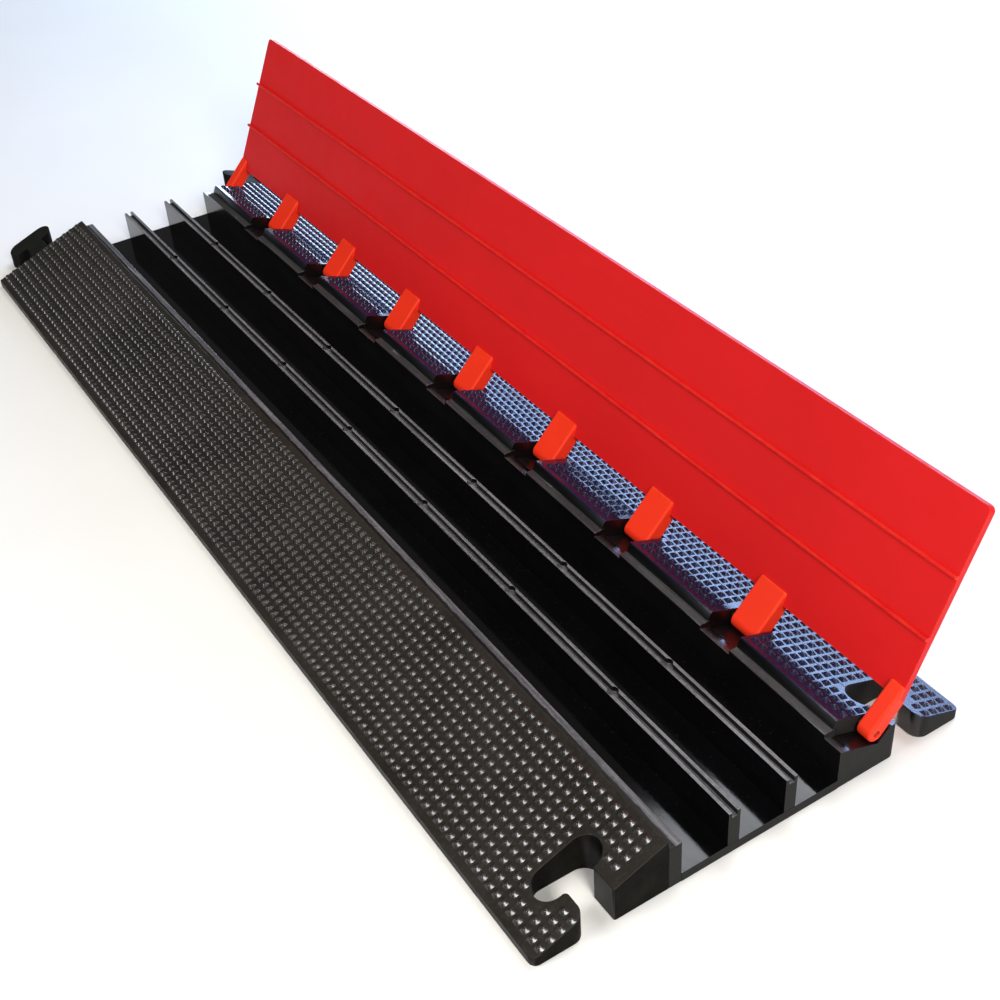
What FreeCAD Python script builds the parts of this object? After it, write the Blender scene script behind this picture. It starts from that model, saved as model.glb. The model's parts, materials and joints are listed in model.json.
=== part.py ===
"""Cable protector ramp: a three-channel base with a hinged lid, stored with the lid standing open.

Frame: +X runs along the ramp towards the socket end, +Y towards the hinge side, +Z up, and the
origin is the bottom centre of the whole part. Everything is drawn about the base's own middle
line, with the lid closed; the lid is then swung open and all of it is moved to the origin.
Sections across the ramp are lists of (y, z) points that are extruded along X.
"""
import math
import os

import FreeCAD, Part

# ---------------------------------------------------------------- base section
LENGTH = 914.0            # end face to end face, a 36 inch module
WIDTH = 312.0
HEIGHT = 40.0             # top of both ridges and of the closed lid
EDGE_HEIGHT = 6.5         # where each ramp meets the road
FLOOR = 7.0               # thickness under the channels
RIDGE_Y = 66.5            # where each ramp stops, from the middle line
LEDGE_Z = 33.5            # the shelves that carry the lid
CHANNEL_Y = 57.2          # outer walls of the outer channels
DIVIDER_OUT = 24.7        # the two dividers' walls, from the middle line
DIVIDER_IN = 16.5
FRONT_STEP_Y = 65.8       # foot of the front ridge wall, which leans out as it rises
GROOVE_WIDTH = 3.6        # in each divider's top, for a rib of the lid
GROOVE_DEPTH = 4.0
POCKET_R = 3.6            # round pockets along the grooves, one at each hinge finger
EDGE_ROUND = 2.0

# ---------------------------------------------------------------- hinge
FINGERS = 9
PITCH = LENGTH / (FINGERS - 1)
FINGER_HALF = 12.0
FINGER_ROUND = 1.6        # along both sides of each finger
SLOT_HALF = 14.0
FINGER_REACH = 32.0       # from the hinge line to a finger's blunt inner end
HINGE_Y = 86.0
HINGE_Z = 27.0
BARREL_R = 6.0
ROD_R = 2.5
ROD_INSET = 2.5           # how far the rod stops short of each end face
BORE_FREE = 0.05          # radial clearance in the fingers, which turn on the rod
BORE_GRIP = 0.02          # radial squeeze in the blocks, which hold it
FLOOR_GAP = 0.8           # below a closed finger
STOP_GAP = 0.4            # behind an open finger
SWING_GAP = 0.6           # between the lid's rear edge and the ridge, both round the hinge
OPEN_DEG = 113.6          # from closed to leaning on the stop

# ---------------------------------------------------------------- lid
LID_UNDER = 33.7          # underside of the closed lid
LID_FRONT_Y = 65.4
LID_END_GAP = 1.0
LID_ROUND = 2.2
LID_CORNER_R = 4.0
RIB_HALF = 1.2
RIB_DEPTH = 2.8

# ---------------------------------------------------------------- connectors
SOCKET_X = 29.5           # middle of the socket's cross slot, from the near end
SOCKET_R = 10.5
SOCKET_FAR_Y = 124.5      # centres of the cross slot's round ends
SOCKET_NEAR_Y = 102.0
NECK_FAR_Y = 121.0
NECK_NEAR_Y = 103.0
LINK_GAP = 1.0            # all round a tongue in a socket
TONGUE_DROP = 0.3         # top of a tongue, below the ramp it continues
HOOK_MOUTH_R = 8.0
HOOK_TIP_R = 3.0
BLOCK_MOUTH_R = 5.0       # the block's corner beside the rear socket
FRONT_MOUTH_R = 1.5       # the same corner beside the front socket
OUTER_CORNER_R = 5.0

# ---------------------------------------------------------------- derived
HALF = WIDTH / 2
TONGUE_REACH = SOCKET_X + SOCKET_R - LINK_GAP
X_NEAR = (LENGTH + TONGUE_REACH) / 2
X_FAR = X_NEAR - LENGTH
SLOPE = math.atan2(HEIGHT - EDGE_HEIGHT, HALF - RIDGE_Y)
RIDGE_SWING_R = math.hypot(HINGE_Y - RIDGE_Y, HEIGHT - HINGE_Z)
LID_SWING_R = RIDGE_SWING_R + SWING_GAP


def swing_y(radius, z):
    """Y of the point at height z on an arc about the hinge, on the channel side."""
    return HINGE_Y - math.sqrt(radius ** 2 - (z - HINGE_Z) ** 2)


def polar(degrees, radius):
    """A point at this angle and distance from the hinge axis; 0 degrees is +Y, 90 is up."""
    a = math.radians(degrees)
    return (HINGE_Y + radius * math.cos(a), HINGE_Z + radius * math.sin(a))


def meet(p, p_deg, q, q_deg):
    """Where the line through p at p_deg crosses the line through q at q_deg."""
    pc, ps = math.cos(math.radians(p_deg)), math.sin(math.radians(p_deg))
    qc, qs = math.cos(math.radians(q_deg)), math.sin(math.radians(q_deg))
    t = ((q[0] - p[0]) * qs - (q[1] - p[1]) * qc) / (pc * qs - ps * qc)
    return (p[0] + t * pc, p[1] + t * ps)


# The lid's rear corner, and the finger's top line from it to the barrel.
LID_REAR_TOP = (swing_y(LID_SWING_R, HEIGHT), HEIGHT)
CORNER_DIST = math.hypot(HINGE_Y - LID_REAR_TOP[0], HEIGHT - HINGE_Z)
CORNER_DEG = math.degrees(math.atan2(HEIGHT - HINGE_Z, LID_REAR_TOP[0] - HINGE_Y))
TOP_TANGENT_DEG = CORNER_DEG - math.degrees(math.acos(BARREL_R / CORNER_DIST))
SLOPE_DEG = -math.degrees(SLOPE)
BELOW_DEG = SLOPE_DEG - 90                       # square to the ramp, downwards
STOP_DEG = TOP_TANGENT_DEG - OPEN_DEG            # square to an open finger's back

# Corners of the trough that the fingers lie in: ridge side, deepest point, and rear lip.
RIDGE = (RIDGE_Y, HEIGHT)
TROUGH_FLOOR = polar(BELOW_DEG, BARREL_R + FLOOR_GAP)
TROUGH_WALL = polar(STOP_DEG, BARREL_R + STOP_GAP)
TROUGH_FRONT = meet(TROUGH_FLOOR, SLOPE_DEG, (FRONT_STEP_Y, 0), 90)
TROUGH_OPEN = meet(TROUGH_FLOOR, SLOPE_DEG, (CHANNEL_Y - 5, 0), 90)
TROUGH_DEEP = meet(TROUGH_FLOOR, SLOPE_DEG, TROUGH_WALL, STOP_DEG + 90)
TROUGH_LIP = meet(RIDGE, SLOPE_DEG, TROUGH_WALL, STOP_DEG + 90)


# ---------------------------------------------------------------- tools
def vec(x, point):
    return FreeCAD.Vector(x, point[0], point[1])


def prism(outline, x0, x1):
    """Extrude an outline along X. An item that is a pair of points is an arc through both."""
    edges = []
    here = outline[-1]
    for item in outline:
        if isinstance(item[0], tuple):
            via, to = item
            edges.append(Part.Arc(vec(x0, here), vec(x0, via), vec(x0, to)).toShape())
        else:
            to = item
            if math.dist(here, to) > 1e-6:
                edges.append(Part.makeLine(vec(x0, here), vec(x0, to)))
        here = to
    face = Part.Face(Part.Wire(edges))
    return face.extrude(FreeCAD.Vector(x1 - x0, 0, 0))


def box(x0, x1, y0, y1, z0, z1):
    return Part.makeBox(x1 - x0, y1 - y0, z1 - z0, FreeCAD.Vector(x0, y0, z0))


def post(x, y, radius, z0, z1):
    return Part.makeCylinder(radius, z1 - z0, FreeCAD.Vector(x, y, z0))


def round_long(shape, spot, radius):
    """Round the edges that run along X through the (y, z) spot."""
    picked = []
    for edge in shape.Edges:
        ends = [v.Point for v in edge.Vertexes]
        if len(ends) == 2 and all(math.dist((p.y, p.z), spot) < 0.05 for p in ends):
            picked.append(edge)
    return shape.makeFillet(radius, picked)


def round_upright(shape, spot, radius):
    """Round the vertical edge at the (x, y) spot."""
    picked = []
    for edge in shape.Edges:
        ends = [v.Point for v in edge.Vertexes]
        if len(ends) == 2 and all(math.dist((p.x, p.y), spot) < 0.05 for p in ends):
            picked.append(edge)
    return shape.makeFillet(radius, picked)


def mirror_y(shape):
    return shape.mirror(FreeCAD.Vector(0, 0, 0), FreeCAD.Vector(0, 1, 0))


def finger_x(index):
    """Middle of finger 0..8 along X; 0 and 8 are the halves at the ends."""
    return X_FAR + index * PITCH


def end_span(index, half):
    """X span of a finger or slot of this half width, cut off at the base's ends."""
    return max(finger_x(index) - half, X_FAR), min(finger_x(index) + half, X_NEAR)


# ---------------------------------------------------------------- connectors
def cross_slot(x, gap):
    """Plan of a connector's head: a bar along Y with round ends, on the +Y side."""
    radius = SOCKET_R - gap
    head = box(x - radius, x + radius, SOCKET_NEAR_Y, SOCKET_FAR_Y, 0, HEIGHT)
    for y in (SOCKET_NEAR_Y, SOCKET_FAR_Y):
        head = head.fuse(post(x, y, radius, 0, HEIGHT))
    return head


def socket_cut():
    """The T-shaped hole at the near end of the rear ramp."""
    x = X_NEAR - SOCKET_X
    neck = box(x, X_NEAR + 1, NECK_NEAR_Y, NECK_FAR_Y, 0, HEIGHT)
    return cross_slot(x, 0).fuse(neck).removeSplitter()


def soften_socket(ramp, sign, block_r):
    """Round the corners of the socket's neck and the ramp's outer corner."""
    inner_x = X_NEAR - SOCKET_X + SOCKET_R
    ramp = round_upright(ramp, (X_NEAR, sign * NECK_FAR_Y), HOOK_MOUTH_R)
    ramp = round_upright(ramp, (X_NEAR, sign * NECK_NEAR_Y), block_r)
    ramp = round_upright(ramp, (inner_x, sign * NECK_FAR_Y), HOOK_TIP_R)
    return round_upright(ramp, (X_NEAR, sign * HALF), OUTER_CORNER_R)


def tongue():
    """The head and neck that stand out of the far end, on the +Y side."""
    x = X_FAR - SOCKET_X
    neck = box(x, X_FAR, NECK_NEAR_Y + LINK_GAP, NECK_FAR_Y - LINK_GAP, 0, HEIGHT)
    plan = cross_slot(x, LINK_GAP).fuse(neck).removeSplitter()
    top = [(y, z - TONGUE_DROP) for y, z in (RIDGE, (HALF, EDGE_HEIGHT))]
    wedge = prism([(RIDGE_Y, 0)] + top + [(HALF, 0)], X_FAR - TONGUE_REACH - 1, X_FAR)
    return plan.common(wedge)


# ---------------------------------------------------------------- base
def front_ramp():
    step = (-FRONT_STEP_Y, LEDGE_Z)
    outline = [(-FRONT_STEP_Y, 0), step, (-RIDGE_Y, HEIGHT), (-HALF, EDGE_HEIGHT), (-HALF, 0)]
    ramp = prism(outline, X_FAR, X_NEAR)
    ramp = ramp.cut(mirror_y(socket_cut()))
    ramp = round_long(ramp, (-RIDGE_Y, HEIGHT), EDGE_ROUND / 2)
    return soften_socket(ramp, -1, FRONT_MOUTH_R)


def rear_ramp():
    """The ramp behind and below the finger trough, with the socket cut through it."""
    outline = [(FRONT_STEP_Y, 0), TROUGH_FRONT, TROUGH_DEEP, TROUGH_LIP,
               (HALF, EDGE_HEIGHT), (HALF, 0)]
    ramp = prism(outline, X_FAR, X_NEAR).cut(socket_cut())
    return soften_socket(ramp, 1, BLOCK_MOUTH_R)


def hinge_block(index):
    """The ramp's crest between two finger slots; it fills the trough and grips the rod."""
    x0 = finger_x(index) + SLOT_HALF
    x1 = finger_x(index + 1) - SLOT_HALF
    foot = (swing_y(RIDGE_SWING_R, LEDGE_Z), LEDGE_Z)
    half_way = (LEDGE_Z + HEIGHT) / 2
    via = (swing_y(RIDGE_SWING_R, half_way), half_way)
    outline = [foot, (via, RIDGE), TROUGH_LIP, TROUGH_DEEP, TROUGH_FRONT,
               (FRONT_STEP_Y, LEDGE_Z)]
    block = round_long(prism(outline, x0, x1), RIDGE, EDGE_ROUND / 2)
    bore = Part.makeCylinder(ROD_R - BORE_GRIP, x1 - x0, vec(x0, (HINGE_Y, HINGE_Z)),
                             FreeCAD.Vector(1, 0, 0))
    return block.cut(bore).cut(socket_cut())


def front_ledge():
    ledge = box(X_FAR, X_NEAR, -FRONT_STEP_Y, -CHANNEL_Y, 0, LEDGE_Z)
    return round_long(ledge, (-CHANNEL_Y, LEDGE_Z), EDGE_ROUND / 2)


def rear_ledge():
    """The rear shelf, notched under each finger."""
    ledge = box(X_FAR, X_NEAR, CHANNEL_Y, FRONT_STEP_Y, 0, LEDGE_Z)
    ledge = round_long(ledge, (CHANNEL_Y, LEDGE_Z), EDGE_ROUND / 2)
    above = (TROUGH_FRONT[0] + 1, HEIGHT)
    floor_end = meet(TROUGH_FLOOR, SLOPE_DEG, above, 90)
    for index in range(FINGERS):
        x0, x1 = end_span(index, SLOT_HALF)
        notch = prism([TROUGH_OPEN, floor_end, above, (TROUGH_OPEN[0], HEIGHT)], x0, x1)
        ledge = ledge.cut(notch)
    return ledge


def channel_floor():
    return box(X_FAR, X_NEAR, -CHANNEL_Y, CHANNEL_Y, 0, FLOOR)


def divider():
    """The divider on the +Y side: two rails on top, with a groove and round pockets between."""
    middle = (DIVIDER_IN + DIVIDER_OUT) / 2
    wall = box(X_FAR, X_NEAR, DIVIDER_IN, DIVIDER_OUT, FLOOR, LEDGE_Z)
    groove = box(X_FAR, X_NEAR, middle - GROOVE_WIDTH / 2, middle + GROOVE_WIDTH / 2,
                 LEDGE_Z - GROOVE_DEPTH, LEDGE_Z)
    wall = wall.cut(groove)
    for index in range(1, FINGERS - 1):
        wall = wall.cut(post(finger_x(index), middle, POCKET_R, LEDGE_Z - GROOVE_DEPTH, LEDGE_Z))
    return wall


def hinge_rod():
    x0 = X_FAR + ROD_INSET
    return Part.makeCylinder(ROD_R, X_NEAR - ROD_INSET - x0, vec(x0, (HINGE_Y, HINGE_Z)),
                             FreeCAD.Vector(1, 0, 0))


# ---------------------------------------------------------------- lid, drawn closed
def lid_outline():
    half_way = (LID_UNDER + HEIGHT) / 2
    rear_under = (swing_y(LID_SWING_R, LID_UNDER), LID_UNDER)
    via = (swing_y(LID_SWING_R, half_way), half_way)
    return [(-LID_FRONT_Y, LID_UNDER), rear_under, (via, LID_REAR_TOP), (-LID_FRONT_Y, HEIGHT)]


def lid_panel():
    x0, x1 = X_FAR + LID_END_GAP, X_NEAR - LID_END_GAP
    panel = prism(lid_outline(), x0, x1)
    for x in (x0, x1):
        panel = round_upright(panel, (x, -LID_FRONT_Y), LID_CORNER_R)
    edges = [e for e in panel.Edges if e.CenterOfMass.z > HEIGHT - 0.01
             and e.CenterOfMass.y < -LID_FRONT_Y + LID_CORNER_R]
    return panel.makeFillet(LID_ROUND, edges)


def lid_rib():
    """The rib that drops into a divider's groove, on the +Y side; its lower edges are cut back."""
    middle = (DIVIDER_IN + DIVIDER_OUT) / 2
    foot = LID_UNDER - RIB_DEPTH
    cut = RIB_HALF / 2
    outline = [(middle - RIB_HALF, LID_UNDER), (middle - RIB_HALF, foot + cut),
               (middle - cut, foot), (middle + cut, foot),
               (middle + RIB_HALF, foot + cut), (middle + RIB_HALF, LID_UNDER)]
    return prism(outline, X_FAR + LID_END_GAP, X_NEAR - LID_END_GAP)


def hinge_finger(index):
    """One arm from the lid's rear edge to a barrel round the rod."""
    x0, x1 = end_span(index, FINGER_HALF)
    x0, x1 = max(x0, X_FAR + LID_END_GAP), min(x1, X_NEAR - LID_END_GAP)
    under = polar(BELOW_DEG, BARREL_R)
    inside = (HINGE_Y - FINGER_REACH, HEIGHT)
    root = meet(under, SLOPE_DEG, inside, 90)
    top = polar(TOP_TANGENT_DEG, BARREL_R)
    arm = prism([root, under, (polar(0, BARREL_R), top), LID_REAR_TOP, inside], x0, x1)
    sides = [e for e in arm.Edges if min(abs(e.CenterOfMass.x - x) for x in (x0, x1)) < 0.01]
    arm = arm.makeFillet(FINGER_ROUND, sides)
    arm = arm.cut(prism(lid_outline(), x0 - 1, x1 + 1))
    bore = Part.makeCylinder(ROD_R + BORE_FREE, x1 - x0, vec(x0, (HINGE_Y, HINGE_Z)),
                             FreeCAD.Vector(1, 0, 0))
    return arm.cut(bore)


def swing_open(shape):
    opened = shape.copy()
    opened.rotate(vec(0, (HINGE_Y, HINGE_Z)), FreeCAD.Vector(1, 0, 0), -OPEN_DEG)
    return opened


# ---------------------------------------------------------------- assembly
base = {
    "front_ramp": front_ramp(),
    "front_ledge": front_ledge(),
    "channel_floor": channel_floor(),
    "front_divider": mirror_y(divider()),
    "rear_divider": divider(),
    "rear_ledge": rear_ledge(),
    "rear_ramp": rear_ramp(),
    "front_tongue": mirror_y(tongue()),
    "rear_tongue": tongue(),
    "hinge_rod": hinge_rod(),
}
for number in range(FINGERS - 1):
    base["hinge_block_%d" % (number + 1)] = hinge_block(number)

lid = {
    "lid_panel": lid_panel(),
    "front_lid_rib": mirror_y(lid_rib()),
    "rear_lid_rib": lid_rib(),
}
for number in range(FINGERS):
    lid["hinge_finger_%d" % (number + 1)] = hinge_finger(number)

parts = dict(base)
for name, closed in lid.items():
    parts[name] = swing_open(closed)

# The open lid leans out past the rear ramp, so the part's middle is a little off the base's.
LID_OVERHANG = parts["lid_panel"].BoundBox.YMax - HALF
ORIGIN = FreeCAD.Vector(0, LID_OVERHANG / 2, 0)

os.makedirs("parts", exist_ok=True)
for name, shape in parts.items():
    shape.translate(-ORIGIN)
    shape.exportStep("parts/%s.step" % name)
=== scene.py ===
"""Cable protector ramp: studs, materials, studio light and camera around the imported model.

Frame: +X towards the socket end, +Y towards the hinge side, +Z up, metres. The lid stands open at
rest. Sizes below are in millimetres; those that repeat the CAD's are about the base's own middle
line.
"""
import json
import math

import bpy
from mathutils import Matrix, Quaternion, Vector


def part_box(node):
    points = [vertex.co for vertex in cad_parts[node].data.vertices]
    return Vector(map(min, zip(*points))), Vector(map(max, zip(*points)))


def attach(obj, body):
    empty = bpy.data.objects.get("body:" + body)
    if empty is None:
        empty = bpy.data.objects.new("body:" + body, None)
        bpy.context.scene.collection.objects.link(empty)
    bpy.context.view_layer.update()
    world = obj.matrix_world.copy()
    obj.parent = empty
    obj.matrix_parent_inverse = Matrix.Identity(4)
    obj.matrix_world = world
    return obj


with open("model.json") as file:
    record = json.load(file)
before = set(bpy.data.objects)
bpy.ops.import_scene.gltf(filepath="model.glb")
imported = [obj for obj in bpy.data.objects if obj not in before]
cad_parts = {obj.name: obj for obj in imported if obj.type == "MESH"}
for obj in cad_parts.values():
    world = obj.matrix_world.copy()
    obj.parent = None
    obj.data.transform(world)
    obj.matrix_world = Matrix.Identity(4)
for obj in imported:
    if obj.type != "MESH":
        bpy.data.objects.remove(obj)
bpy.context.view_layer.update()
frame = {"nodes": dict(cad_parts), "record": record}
nodes = frame["nodes"]
MM = 0.001

# ---------------------------------------------------------------- sizes, mm
RIDGE_Y, RIDGE_Z = 66.5, 40.0
EDGE_Y, EDGE_Z = 156.0, 6.5
FINGER_PITCH = 114.25
SLOT_HALF = 14.0
TROUGH_LIP_Y = 96.3           # where the open finger troughs end on the rear ramp
SOCKET_X, SOCKET_R = 29.5, 10.5
SOCKET_NEAR_Y, SOCKET_FAR_Y = 102.0, 124.5
NECK_NEAR_Y, NECK_FAR_Y = 103.0, 121.0
HOOK_MOUTH_R = 8.0
OUTER_CORNER_R = 5.0
HINGE_Y, HINGE_Z = 86.0, 27.0
OPEN_DEG = 113.6
SHELF_Z = 29.0                # ledge and divider tops lie above this, the channel floor below it
REAR_LEDGE_Y = 41.0           # the rear ledge lies beyond this, the dividers before it
SOCKET_END_DEPTH = 45.0       # end faces within this of the socket end look cut
RIDGE_SHADOW_Y = 61.8                # a painted shadow fills the front ledge from here to the foot of the ridge

STUD_COLUMNS = 130
STUD_ROWS = 12
FIRST_ROW = 7.2               # from the ridge to the first row
ROW_PITCH = 6.85
STUD_HALF = 2.75
STUD_HEIGHT = 1.9
STUD_RINGS = ((STUD_HALF, -0.15), (STUD_HALF - 0.25, 0.1), (1.45, STUD_HEIGHT - 0.7),
              (1.0, STUD_HEIGHT - 0.26), (0.5, STUD_HEIGHT - 0.04))      # half width, height
FLAT = 0.8                    # how much of a stud's side is straight, the rest is its cut corners
STUD_OUTLINE = ((-FLAT, -1), (FLAT, -1), (1, -FLAT), (1, FLAT),
                (FLAT, 1), (-FLAT, 1), (-1, FLAT), (-1, -FLAT))
STUD_CLEAR = 2.75             # from a stud's middle to any edge
SHARP_DEG = 50                # added pieces shade smooth across edges flatter than this

# A small bevel on the CAD nodes whose names hold these words, and how it finds the edges.
SOFT_EDGES = {"front_ramp": 0.5, "rear_ramp": 0.5, "tongue": 0.8, "ledge": 0.5, "divider": 0.3,
              "hinge_block": 0.6, "lid_panel": 0.4}
SOFT_SEGMENTS = 2
SOFT_ANGLE = 35
WELD_DISTANCE = 0.01
FLAT_ANGLE = 0.5

# Non-slip grips on the lid's outer face.
GRIP_LONG, GRIP_WIDE, GRIP_HEIGHT = 7.0, 2.3, 0.9      # half length, half width, height
GRIP_RINGS = ((1.0, -0.2), (0.97, 0.3), (0.8, 0.75), (0.5, 1.0))     # parts of size and height
GRIP_SIDES = 12
GRIP_LEAN = 45
GRIP_PITCH = 15.0
GRIP_MARGIN = 11.0            # from the panel's edges to the first grip's middle
LID_LOW_Y, LID_HIGH_Y = -65.4, 62.0

ramp_low, ramp_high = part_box("front_ramp")
X_FAR, X_NEAR = ramp_low.x / MM, ramp_high.x / MM
MIDDLE_Y = ramp_low.y / MM + EDGE_Y       # the base's middle line in the frame
COLUMN_PITCH = (X_NEAR - X_FAR) / STUD_COLUMNS
SLOPE = math.atan2(RIDGE_Z - EDGE_Z, EDGE_Y - RIDGE_Y)


def point(x, y, z):
    """A spot about the base's middle line, in mm, as a point of the frame."""
    return Vector((x * MM, (y + MIDDLE_Y) * MM, z * MM))


# ---------------------------------------------------------------- material tools
class Surface:
    """A Principled material whose nodes are added one by one, in the frame's own coordinates."""

    def __init__(self, name, color, roughness, **settings):
        self.material = bpy.data.materials.new(name)
        self.material.use_nodes = True
        self.tree = self.material.node_tree
        self.shader = self.tree.nodes["Principled BSDF"]
        self.shader.inputs["Base Color"].default_value = (*color, 1)
        self.shader.inputs["Roughness"].default_value = roughness
        for key, value in settings.items():
            self.shader.inputs[key.replace("_", " ")].default_value = value
        self.place = self.add("ShaderNodeTexCoord").outputs["Object"]

    def add(self, kind, **settings):
        node = self.tree.nodes.new(kind)
        for key, value in settings.items():
            setattr(node, key, value)
        return node

    def put(self, socket, value):
        if isinstance(value, bpy.types.NodeSocket):
            self.tree.links.new(value, socket)
        else:
            socket.default_value = value

    def noise(self, scale, detail=4.0, rough=0.55, stretch=(1, 1, 1), distortion=0.0):
        mapping = self.add("ShaderNodeMapping")
        self.put(mapping.inputs["Vector"], self.place)
        mapping.inputs["Scale"].default_value = stretch
        node = self.add("ShaderNodeTexNoise")
        self.put(node.inputs["Vector"], mapping.outputs["Vector"])
        node.inputs["Scale"].default_value = scale
        node.inputs["Detail"].default_value = detail
        node.inputs["Roughness"].default_value = rough
        node.inputs["Distortion"].default_value = distortion
        return node.outputs["Fac"]

    def scale(self, value, low, high, to_low=0.0, to_high=1.0):
        node = self.add("ShaderNodeMapRange")
        self.put(node.inputs["Value"], value)
        for key, number in zip(("From Min", "From Max", "To Min", "To Max"),
                               (low, high, to_low, to_high)):
            node.inputs[key].default_value = number
        return node.outputs["Result"]

    def math(self, operation, a, b=0.0):
        node = self.add("ShaderNodeMath", operation=operation)
        self.put(node.inputs[0], a)
        self.put(node.inputs[1], b)
        return node.outputs[0]

    def mix(self, factor, a, b):
        node = self.add("ShaderNodeMix", data_type="RGBA")
        self.put(node.inputs["Factor"], factor)
        for key, value in (("A", a), ("B", b)):
            socket = [s for s in node.inputs if s.name == key and s.type == "RGBA"][0]
            self.put(socket, value if isinstance(value, bpy.types.NodeSocket) else (*value, 1))
        return [s for s in node.outputs if s.type == "RGBA"][0]

    def bump(self, height, distance, strength=1.0, under=None):
        node = self.add("ShaderNodeBump")
        node.inputs["Distance"].default_value = distance
        node.inputs["Strength"].default_value = strength
        self.put(node.inputs["Height"], height)
        if under is not None:
            self.put(node.inputs["Normal"], under)
        return node.outputs["Normal"]

    def edges(self, radius):
        """1 within about this many mm of an edge, 0 on the flat, broken up by noise."""
        rounded = self.add("ShaderNodeBevel", samples=4)
        rounded.inputs["Radius"].default_value = radius * MM
        node = self.add("ShaderNodeVectorMath", operation="DOT_PRODUCT")
        self.put(node.inputs[0], rounded.outputs["Normal"])
        self.put(node.inputs[1], self.add("ShaderNodeNewGeometry").outputs["Normal"])
        rub = self.scale(self.noise(90, 5, 0.7), 0.35, 0.65)
        return self.math("MULTIPLY", self.scale(node.outputs["Value"], 0.995, 0.9), rub)

    def along(self, axis):
        """The spot's own coordinate along this axis of the frame, in metres."""
        node = self.add("ShaderNodeSeparateXYZ")
        self.put(node.inputs["Vector"], self.place)
        return node.outputs[axis]

    def shelf(self):
        """1 on faces that look up from the ledges and dividers, 0 on walls and channel floors."""
        high = self.scale(self.along("Z"), (SHELF_Z - 1) * MM, (SHELF_Z + 1) * MM)
        return self.math("MULTIPLY", self.facing("Z"), high)

    def ridge_foot_shadow(self):
        """1 in the corner of the front ledge and the ridge, ragged-edged: the ridge's painted
        shadow.
        """
        ragged = self.scale(self.noise(120, 3, 0.6), 0.3, 0.7, -0.5 * MM, 0.5 * MM)
        across = self.math("ADD", self.along("Y"), ragged)
        edge = MIDDLE_Y - RIDGE_SHADOW_Y
        return self.scale(across, (edge + 0.3) * MM, (edge - 0.3) * MM)

    def cut_ends(self):
        """1 on faces that look along X at the socket end of the base, 0 everywhere else."""
        edge = X_NEAR - SOCKET_END_DEPTH
        near = self.scale(self.along("X"), (edge - 1) * MM, (edge + 1) * MM)
        return self.math("MULTIPLY", self.facing("X"), near)

    def rearward(self):
        """1 on the hinge side's ledge, 0 on the dividers and in front of them."""
        edge = MIDDLE_Y + REAR_LEDGE_Y
        return self.scale(self.along("Y"), (edge - 1) * MM, (edge + 1) * MM)

    def below_tread(self, depth):
        """1 more than this many mm under the rear ramp's tread, 0 on it and on its studs."""
        across = self.math("SUBTRACT", self.along("Y"), (MIDDLE_Y + RIDGE_Y) * MM)
        tread = self.math("SUBTRACT", RIDGE_Z * MM, self.math("MULTIPLY", across, math.tan(SLOPE)))
        gap = self.math("SUBTRACT", tread, self.along("Z"))
        return self.scale(gap, 0.6 * depth * MM, 1.2 * depth * MM)

    def facing(self, axis, start=0.6, full=0.9):
        """1 where the surface faces along this axis of the frame, either way."""
        node = self.add("ShaderNodeSeparateXYZ")
        self.put(node.inputs["Vector"], self.add("ShaderNodeNewGeometry").outputs["Normal"])
        return self.scale(self.math("ABSOLUTE", node.outputs[axis]), start, full)

    def finish(self, color=None, roughness=None, normal=None):
        for key, value in (("Base Color", color), ("Roughness", roughness), ("Normal", normal)):
            if value is not None:
                self.put(self.shader.inputs[key], value)
        return self.material


# ---------------------------------------------------------------- materials
def times(color, factor):
    return tuple(factor * c for c in color)


END_STAIN_AND_SHADE = (0.0032, 0.0031, 0.0019)    # the cut-looking end faces, a dull olive black, darker as painted shade
WALL_SHADE_RUBBER = (0.0015, 0.0015, 0.0016)   # painted shade: a near-black copy for the ramps' upright sides and finger troughs
END_ROUGHNESS, WALL_ROUGHNESS = 0.9, 0.34
BARE_SCRAPE = (0.55, 0.55, 0.56)
DUST = (0.09, 0.09, 0.09)


def rubber(name, dark, light, roughness, spread, grain, rear=False, **settings):
    """Moulded rubber: cloudy colour, patchy gloss and a fine grain.

    Upright faces and, on the rear ramp, the finger troughs are near-black as painted shade. The
    socket end's faces are dull and stained, and darker than the tread as painted shade.
    """
    s = Surface(name, dark, roughness, **settings)
    cloud = s.scale(s.noise(14, 6, 0.6), 0.35, 0.7)
    speck = s.scale(s.noise(420, 3, 0.5), 0.5, 0.8)
    color = s.mix(s.math("MULTIPLY", cloud, 0.8), dark, light)
    color = s.mix(s.math("MULTIPLY", speck, 0.3), color, times(light, 2.2))
    color = s.mix(s.math("MULTIPLY", s.edges(0.9), 0.5), color, times(light, 3))
    gloss = s.scale(s.noise(55, 5, 0.6), 0.3, 0.7, roughness - spread, roughness + spread)
    # painted shade: upright faces, and on the rear ramp the finger troughs, get a near-black copy
    walls = s.math("MAXIMUM", s.facing("X"), s.facing("Y"))
    if rear:
        walls = s.math("MAXIMUM", walls, s.below_tread(1.5))
    color = s.mix(walls, color, s.mix(cloud, WALL_SHADE_RUBBER, times(WALL_SHADE_RUBBER, 2)))
    gloss = s.math("MAXIMUM", gloss, s.scale(walls, 0, 1, 0, WALL_ROUGHNESS))
    ends = s.cut_ends()
    # the socket end's faces: stains, and darker overall as painted shade
    stain = s.scale(s.noise(38, 6, 0.7), 0.38, 0.66)
    stained = s.mix(stain, times(END_STAIN_AND_SHADE, 0.3), times(END_STAIN_AND_SHADE, 2.4))
    color = s.mix(ends, color, stained)
    gloss = s.math("MAXIMUM", gloss, s.scale(ends, 0, 1, 0, END_ROUGHNESS))
    fine = s.bump(s.noise(1500, 3, 0.6), grain * MM)
    wide = s.bump(s.noise(90, 3, 0.5), 2.5 * grain * MM, under=fine)
    return s.finish(color, gloss, wide)


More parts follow.
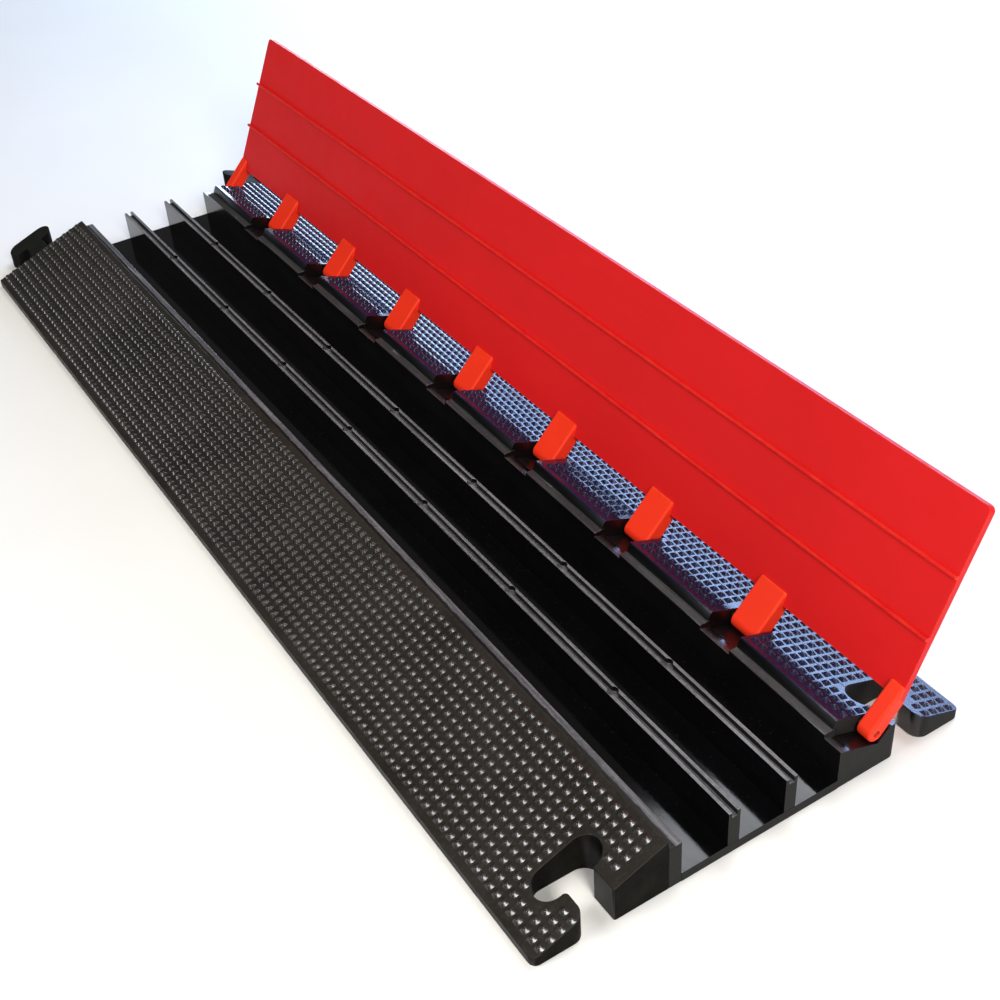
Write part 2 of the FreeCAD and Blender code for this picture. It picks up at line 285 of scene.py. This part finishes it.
def smooth_rubber(name, wall, shelf, streaks, wall_rough, shelf_rough, **settings):
    """Mould-polished rubber: nearly black walls, shelves greyed by scuffs along X and by painted
    light.
    """
    s = Surface(name, wall, wall_rough, **settings)
    cloud = s.scale(s.noise(20, 5), 0.35, 0.7)
    dust = s.scale(s.noise(800, 2, 0.5), 0.68, 0.78)
    streak = s.scale(s.noise(60, 5, 0.65, stretch=(0.2, 9, 9)), 0.42, 0.72)
    # the shelf tops are greyer partly by scuff wear and partly as painted light
    up = s.shelf()
    speck = s.scale(s.noise(520, 4, 0.7), 0.35, 0.65)
    shelf_wear_and_light = s.mix(speck, times(shelf, 0.6), times(shelf, 1.4))
    shelf_wear_and_light = s.mix(s.math("MULTIPLY", streak, cloud), shelf_wear_and_light, streaks)
    shelf_wear_and_light = s.mix(s.edges(0.7), shelf_wear_and_light, times(streaks, 1.6))
    shelf_wear_and_light = s.mix(s.math("MULTIPLY", s.rearward(), 0.72), shelf_wear_and_light, times(wall, 2))
    scrape = s.scale(s.noise(40, 6, 0.75, stretch=(0.5, 6, 6), distortion=1.2), 0.66, 0.72)
    shelf_wear_and_light = s.mix(s.math("MULTIPLY", scrape, 0.8), shelf_wear_and_light, BARE_SCRAPE)
    # the ridge's painted shadow on the front ledge, in the wall colour
    shelf_wear_and_light = s.mix(s.ridge_foot_shadow(), shelf_wear_and_light, wall)
    color = s.mix(up, s.mix(cloud, wall, times(wall, 1.8)), shelf_wear_and_light)
    color = s.mix(s.math("MULTIPLY", dust, 0.3), color, DUST)
    ends = s.cut_ends()
    # the socket end's faces in the stained olive black, darker as painted shade
    color = s.mix(ends, color, END_STAIN_AND_SHADE)
    shelf_gloss = s.scale(streak, 0, 1, shelf_rough - 0.08, shelf_rough + 0.16)
    wall_gloss = s.scale(s.noise(30, 5, 0.65, stretch=(0.3, 1, 1)), 0.3, 0.75,
                         wall_rough - 0.04, wall_rough + 0.08)
    gloss = s.math("ADD", s.math("MULTIPLY", up, shelf_gloss),
                   s.math("MULTIPLY", s.math("SUBTRACT", 1.0, up), wall_gloss))
    gloss = s.math("MAXIMUM", gloss, s.scale(ends, 0, 1, 0, END_ROUGHNESS))
    fine = s.bump(s.noise(700, 4, 0.6, stretch=(0.3, 1, 1)), 0.015 * MM)
    wave = s.bump(s.noise(35, 3, 0.5, stretch=(0.5, 1, 1)), 0.03 * MM, under=fine)
    return s.finish(color, gloss, wave)


def lid_plastic(name, base, bright, roughness, level):
    """Red moulded plastic: faint flow marks, orange peel, fine scratches and rubbed edges."""
    s = Surface(name, base, roughness, Specular_IOR_Level=level)
    cloud = s.scale(s.noise(7, 5, 0.6, stretch=(0.6, 1, 1)), 0.35, 0.7)
    color = s.mix(cloud, times(base, 0.88), base)
    scratch = s.scale(s.noise(300, 3, 0.7, stretch=(0.04, 1, 1), distortion=0.4), 0.7, 0.8)
    color = s.mix(s.math("MULTIPLY", scratch, 0.35), color, bright)
    color = s.mix(s.math("MULTIPLY", s.edges(1.6), 0.75), color, bright)
    gloss = s.scale(s.noise(45, 5, 0.6), 0.3, 0.7, roughness - 0.06, roughness + 0.08)
    gloss = s.math("ADD", gloss, s.math("MULTIPLY", scratch, 0.1))
    peel = s.bump(s.noise(650, 2, 0.5), 0.03 * MM)
    sag = s.bump(s.noise(9, 2, 0.5), 0.4 * MM, under=peel)
    return s.finish(color, gloss, sag)


def steel(name):
    """Drawn rod: fine lines round the bar, dull zinc and a little rust."""
    s = Surface(name, (0.42, 0.41, 0.4), 0.38, Metallic=1.0)
    patch = s.scale(s.noise(60, 6, 0.65), 0.4, 0.65)
    color = s.mix(patch, (0.30, 0.26, 0.21), (0.5, 0.5, 0.5))
    rust = s.scale(s.noise(140, 5, 0.7), 0.6, 0.72)
    color = s.mix(rust, color, (0.12, 0.045, 0.015))
    gloss = s.scale(s.noise(40, 4), 0.3, 0.7, 0.28, 0.5)
    normal = s.bump(s.noise(900, 2, 0.5, stretch=(1, 0.05, 0.05)), 0.02 * MM)
    return s.finish(color, gloss, normal)


# Each rubber has its dark and light colour, its roughness and how far that varies, and its grain
# in mm. Each smooth rubber has its wall, shelf and streak colours, then its two roughnesses.
TREAD = rubber("tread_rubber", (0.015, 0.013, 0.0105), (0.032, 0.027, 0.022), 0.42, 0.08, 0.04,
               Specular_IOR_Level=0.12)
STUD = rubber("stud_rubber", (0.011, 0.0095, 0.008), (0.028, 0.024, 0.021), 0.25, 0.06, 0.03,
              Specular_IOR_Level=0.85)
# the rear ramp's navy is a painted reflection of blue sky in black rubber
REAR_SKY_TINTED = rubber("rear_tread_rubber", (0.004, 0.007, 0.026), (0.008, 0.013, 0.048), 0.22, 0.05, 0.03,
              rear=True, Specular_IOR_Level=0.5)
REAR_STUD_SKY_TINTED = rubber("rear_stud_rubber_sky_tinted", (0.004, 0.007, 0.026), (0.008, 0.013, 0.048), 0.25, 0.05,
                   0.03, rear=True, Specular_IOR_Level=0.6)
LINK = rubber("connector_rubber", (0.006, 0.006, 0.005), (0.014, 0.014, 0.011), 0.7, 0.1, 0.08,
              Specular_IOR_Level=0.1)
# the shelf and streak colours grey the tops by scuffs and partly as painted light
LEDGE = smooth_rubber("ledge_rubber", (0.003, 0.003, 0.003), (0.085, 0.083, 0.09),
                      (0.3, 0.3, 0.31), 0.16, 0.36)
CHANNEL = smooth_rubber("channel_rubber", (0.0016, 0.0016, 0.002), (0.12, 0.118, 0.126),
                        (0.34, 0.34, 0.35), 0.07, 0.3)
LID = lid_plastic("lid_plastic", (0.72, 0.011, 0.012), (0.9, 0.06, 0.02), 0.45, 0.15)
# the fingers are the lid's red painted brighter and more orange: painted light on faces that look
# up
LIT_FINGER_PLASTIC = lid_plastic("finger_plastic", (0.9, 0.036, 0.01), (0.98, 0.12, 0.03), 0.45, 0.15)
ROD = steel("rod_steel")

FINISHES = {
    "tread_rubber": TREAD, "rear_tread_rubber": REAR_SKY_TINTED, "connector_rubber": LINK,
    "ledge_rubber": LEDGE, "channel_rubber": CHANNEL, "lid_plastic": LID,
    "finger_plastic": LIT_FINGER_PLASTIC, "rod_steel": ROD,
}
for part in frame["record"]["subparts"]:
    mesh = nodes[part["node"]].data
    mesh.materials.clear()
    mesh.materials.append(FINISHES[part["material_slot"]])


# ---------------------------------------------------------------- studs
def add_piece(name, verts, faces, material, body):
    mesh = bpy.data.meshes.new(name)
    mesh.from_pydata(verts, [], faces)
    mesh.materials.append(material)
    mesh.shade_smooth()
    mesh.set_sharp_from_angle(angle=math.radians(SHARP_DEG))
    piece = bpy.data.objects.new(name, mesh)
    bpy.context.scene.collection.objects.link(piece)
    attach(piece, body)
    return piece


def add_stud(verts, faces, at, along, across, up):
    """A four-sided stud, rounded at its corners and tip."""
    start = len(verts)
    sides = len(STUD_OUTLINE)
    for half, height in STUD_RINGS:
        for a, b in STUD_OUTLINE:
            verts.append(at + (along * a + across * b) * half * MM + up * height * MM)
    tip = len(verts)
    verts.append(at + up * STUD_HEIGHT * MM)
    for ring in range(len(STUD_RINGS) - 1):
        for k in range(sides):
            a = start + sides * ring + k
            b = start + sides * ring + (k + 1) % sides
            faces.append((a, b, b + sides, a + sides))
    top = tip - sides
    for k in range(sides):
        faces.append((top + k, top + (k + 1) % sides, tip))


def near_socket(x, y):
    """Whether a stud at x and this distance from the middle line would overhang the socket."""
    inward = X_NEAR - x
    middle_y = min(max(y, SOCKET_NEAR_Y), SOCKET_FAR_Y)
    if math.hypot(inward - SOCKET_X, y - middle_y) < SOCKET_R + STUD_CLEAR:
        return True
    in_neck = NECK_NEAR_Y - STUD_CLEAR < y < NECK_FAR_Y + STUD_CLEAR
    return in_neck and inward < SOCKET_X


def off_a_corner(x, y):
    """Whether a stud would overhang one of the rounded upright corners at the socket end."""
    inward = X_NEAR - x
    for corner_y, side, radius in ((EDGE_Y, -1, OUTER_CORNER_R), (NECK_FAR_Y, 1, HOOK_MOUTH_R)):
        over_y = radius - side * (y - corner_y)
        over_x = radius - inward
        if over_x > 0 and over_y > 0 and math.hypot(over_x, over_y) > radius - STUD_CLEAR:
            return True
    return False


def over_trough(x, y):
    """Whether a stud on the rear ramp would stand over an open finger slot."""
    place = (x - X_FAR) / FINGER_PITCH
    from_finger = abs(place - round(place)) * FINGER_PITCH
    return y < TROUGH_LIP_Y + STUD_CLEAR and from_finger < SLOT_HALF + STUD_CLEAR


def studs(name, side, material):
    """All the studs of one ramp: side is -1 for the front, 1 for the rear."""
    verts, faces = [], []
    along = Vector((side, 0, 0))
    across = Vector((0, math.cos(SLOPE) * side, -math.sin(SLOPE)))
    up = Vector((0, math.sin(SLOPE) * side, math.cos(SLOPE)))
    for row in range(STUD_ROWS):
        y = RIDGE_Y + FIRST_ROW + row * ROW_PITCH
        z = RIDGE_Z - (y - RIDGE_Y) * math.tan(SLOPE)
        for column in range(STUD_COLUMNS):
            x = X_FAR + (column + 0.5) * COLUMN_PITCH
            if near_socket(x, y) or off_a_corner(x, y):
                continue
            if side > 0 and over_trough(x, y):
                continue
            add_stud(verts, faces, point(x, side * y, z), along, across, up)
    return add_piece(name, verts, faces, material, "base")


studs("front_studs", -1, STUD)
studs("rear_studs", 1, REAR_STUD_SKY_TINTED)


# ---------------------------------------------------------------- softened edges
def soften(node, width):
    """Bevel a CAD node's sharp edges by this many mm; its own mesh is left alone."""
    weld = nodes[node].modifiers.new("weld", "WELD")
    weld.merge_threshold = WELD_DISTANCE * MM
    flatten = nodes[node].modifiers.new("flatten", "DECIMATE")
    flatten.decimate_type = "DISSOLVE"
    flatten.angle_limit = math.radians(FLAT_ANGLE)
    bevel = nodes[node].modifiers.new("bevel", "BEVEL")
    bevel.width = width * MM
    bevel.segments = SOFT_SEGMENTS
    bevel.limit_method = "ANGLE"
    bevel.angle_limit = math.radians(SOFT_ANGLE)
    bevel.harden_normals = True


for name in nodes:
    for kind, width in SOFT_EDGES.items():
        if kind in name:
            soften(name, width)


# ---------------------------------------------------------------- the lid's outer face
def opened(x, y, z):
    """A spot on the closed lid, in mm, as a point of the frame with the lid open."""
    turn = math.radians(-OPEN_DEG)
    dy, dz = y - HINGE_Y, z - HINGE_Z
    return point(x, HINGE_Y + dy * math.cos(turn) - dz * math.sin(turn),
                 HINGE_Z + dy * math.sin(turn) + dz * math.cos(turn))


def add_grip(verts, faces, x, y, lean):
    """A low lens-shaped bar on the lid's outer face, leaning one way or the other."""
    start = len(verts)
    cos, sin = math.cos(math.radians(lean)), math.sin(math.radians(lean))
    for size, height in GRIP_RINGS:
        for k in range(GRIP_SIDES):
            a = math.tau * k / GRIP_SIDES
            u = GRIP_LONG * size * math.cos(a)
            v = GRIP_WIDE * size * math.sin(a)
            z = RIDGE_Z + height * GRIP_HEIGHT
            verts.append(opened(x + u * cos - v * sin, y + u * sin + v * cos, z))
    for ring in range(len(GRIP_RINGS) - 1):
        for k in range(GRIP_SIDES):
            a = start + ring * GRIP_SIDES + k
            b = start + ring * GRIP_SIDES + (k + 1) % GRIP_SIDES
            faces.append((a, b, b + GRIP_SIDES, a + GRIP_SIDES))
    faces.append(tuple(len(verts) - GRIP_SIDES + k for k in range(GRIP_SIDES)))


def lid_grips():
    """Rows of grips over the whole lid, leaning in turn, evenly inside its edges."""
    verts, faces = [], []
    across = int((LID_HIGH_Y - LID_LOW_Y - 2 * GRIP_MARGIN) // GRIP_PITCH) + 1
    along = int((X_NEAR - X_FAR - 2 * GRIP_MARGIN) // GRIP_PITCH) + 1
    first_y = (LID_LOW_Y + LID_HIGH_Y - (across - 1) * GRIP_PITCH) / 2
    first_x = (X_NEAR + X_FAR - (along - 1) * GRIP_PITCH) / 2
    for i in range(along):
        for j in range(across):
            lean = GRIP_LEAN if (i + j) % 2 else -GRIP_LEAN
            add_grip(verts, faces, first_x + i * GRIP_PITCH, first_y + j * GRIP_PITCH, lean)
    return add_piece("lid_grips", verts, faces, LID, "lid")


lid_grips()


# ---------------------------------------------------------------- stage, light, camera
FLOOR_SIZE = 30.0             # half width, in metres
FLOOR_DROP = 0.0004           # below the object, so that the two don't share a plane
FLOOR_TONES = (0.88, 0.86, 0.81), (0.92, 0.9, 0.85)
SKY_COLOR, SKY_STRENGTH = (0.97, 0.98, 1.0, 1), 0.12
CAMERA_PLACE = (0.8779, -0.3860, 0.6741)
CAMERA_TARGET = (0.1601, 0.0265, 0.03)
CAMERA_ROLL_DEG = -4.32
CAMERA_LENS = 53.17

# Name, place and target in metres, size in metres, power in watts, colour.
SOFTBOXES = (
    ("key", (0.25, -1.45, 1.2), (0, 0, 0), (0.8, 0.8), 16.3, (1, 1, 1)),
    ("shoulder", (2.1, -0.35, 1.35), (0.1, 0, 0), (0.7, 0.7), 33, (1, 0.98, 0.95)),
    ("shoulder_mid", (1.5, -0.37, 1.7), (0, -0.1, 0), (0.5, 0.5), 8, (1, 0.98, 0.95)),
    ("corner", (-0.47, 0.83, 1.5), (-0.47, 0.84, 0), (0.16, 0.45), 1.2, (0.92, 0.95, 1.0)),
    ("horizon_far", (-2.3, 1.4, 0.45), (-2.3, 0, 0.2), (1.6, 0.45), 32, (0.62, 0.79, 1.0)),
    ("horizon_near", (-0.7, 1.4, 0.5), (-0.7, 0, 0.2), (1.6, 0.45), 28, (0.4, 0.58, 1.0)),
    ("skylight", (0.9, 1.75, 1.1), (0, 0, 0), (1.6, 1.0), 13, (0.62, 0.74, 1.0)),
    ("top", (0, 1.0, 2.5), (0, 0, 0), (0.9, 0.9), 17, (1, 0.97, 0.93)),
)


def make_floor():
    s = Surface("studio_floor", FLOOR_TONES[1], 0.6)
    tone = s.scale(s.noise(3, 4), 0.3, 0.7)
    material = s.finish(s.mix(tone, *FLOOR_TONES))
    mesh = bpy.data.meshes.new("studio_floor")
    corners = [(x * FLOOR_SIZE, y * FLOOR_SIZE, 0) for x, y in ((-1, -1), (1, -1), (1, 1), (-1, 1))]
    mesh.from_pydata(corners, [], [(0, 1, 2, 3)])
    mesh.materials.append(material)
    floor = bpy.data.objects.new("studio_floor", mesh)
    floor.location.z = -FLOOR_DROP
    bpy.context.scene.collection.objects.link(floor)


def aim(thing, target):
    direction = Vector(target) - thing.location
    thing.rotation_mode = "QUATERNION"
    thing.rotation_quaternion = direction.to_track_quat("-Z", "Y")


def softbox(name, place, target, size, power, color):
    light = bpy.data.lights.new(name, "AREA")
    light.shape = "RECTANGLE"
    light.size, light.size_y = size
    light.energy = power
    light.color = color
    lamp = bpy.data.objects.new(name, light)
    lamp.location = place
    bpy.context.scene.collection.objects.link(lamp)
    aim(lamp, target)


def make_world():
    world = bpy.data.worlds.new("studio")
    world.use_nodes = True
    background = world.node_tree.nodes["Background"]
    background.inputs["Color"].default_value = SKY_COLOR
    background.inputs["Strength"].default_value = SKY_STRENGTH
    bpy.context.scene.world = world


def make_camera():
    data = bpy.data.cameras.new("camera")
    data.sensor_width = 36.0
    data.lens = CAMERA_LENS
    data.clip_start, data.clip_end = 0.05, 100.0
    camera = bpy.data.objects.new("camera", data)
    camera.location = CAMERA_PLACE
    bpy.context.scene.collection.objects.link(camera)
    aim(camera, CAMERA_TARGET)
    camera.rotation_quaternion @= Quaternion((0, 0, 1), math.radians(CAMERA_ROLL_DEG))
    bpy.context.scene.camera = camera


make_floor()
make_world()
for box in SOFTBOXES:
    softbox(*box)
make_camera()
bpy.context.scene.view_settings.view_transform = "Standard"
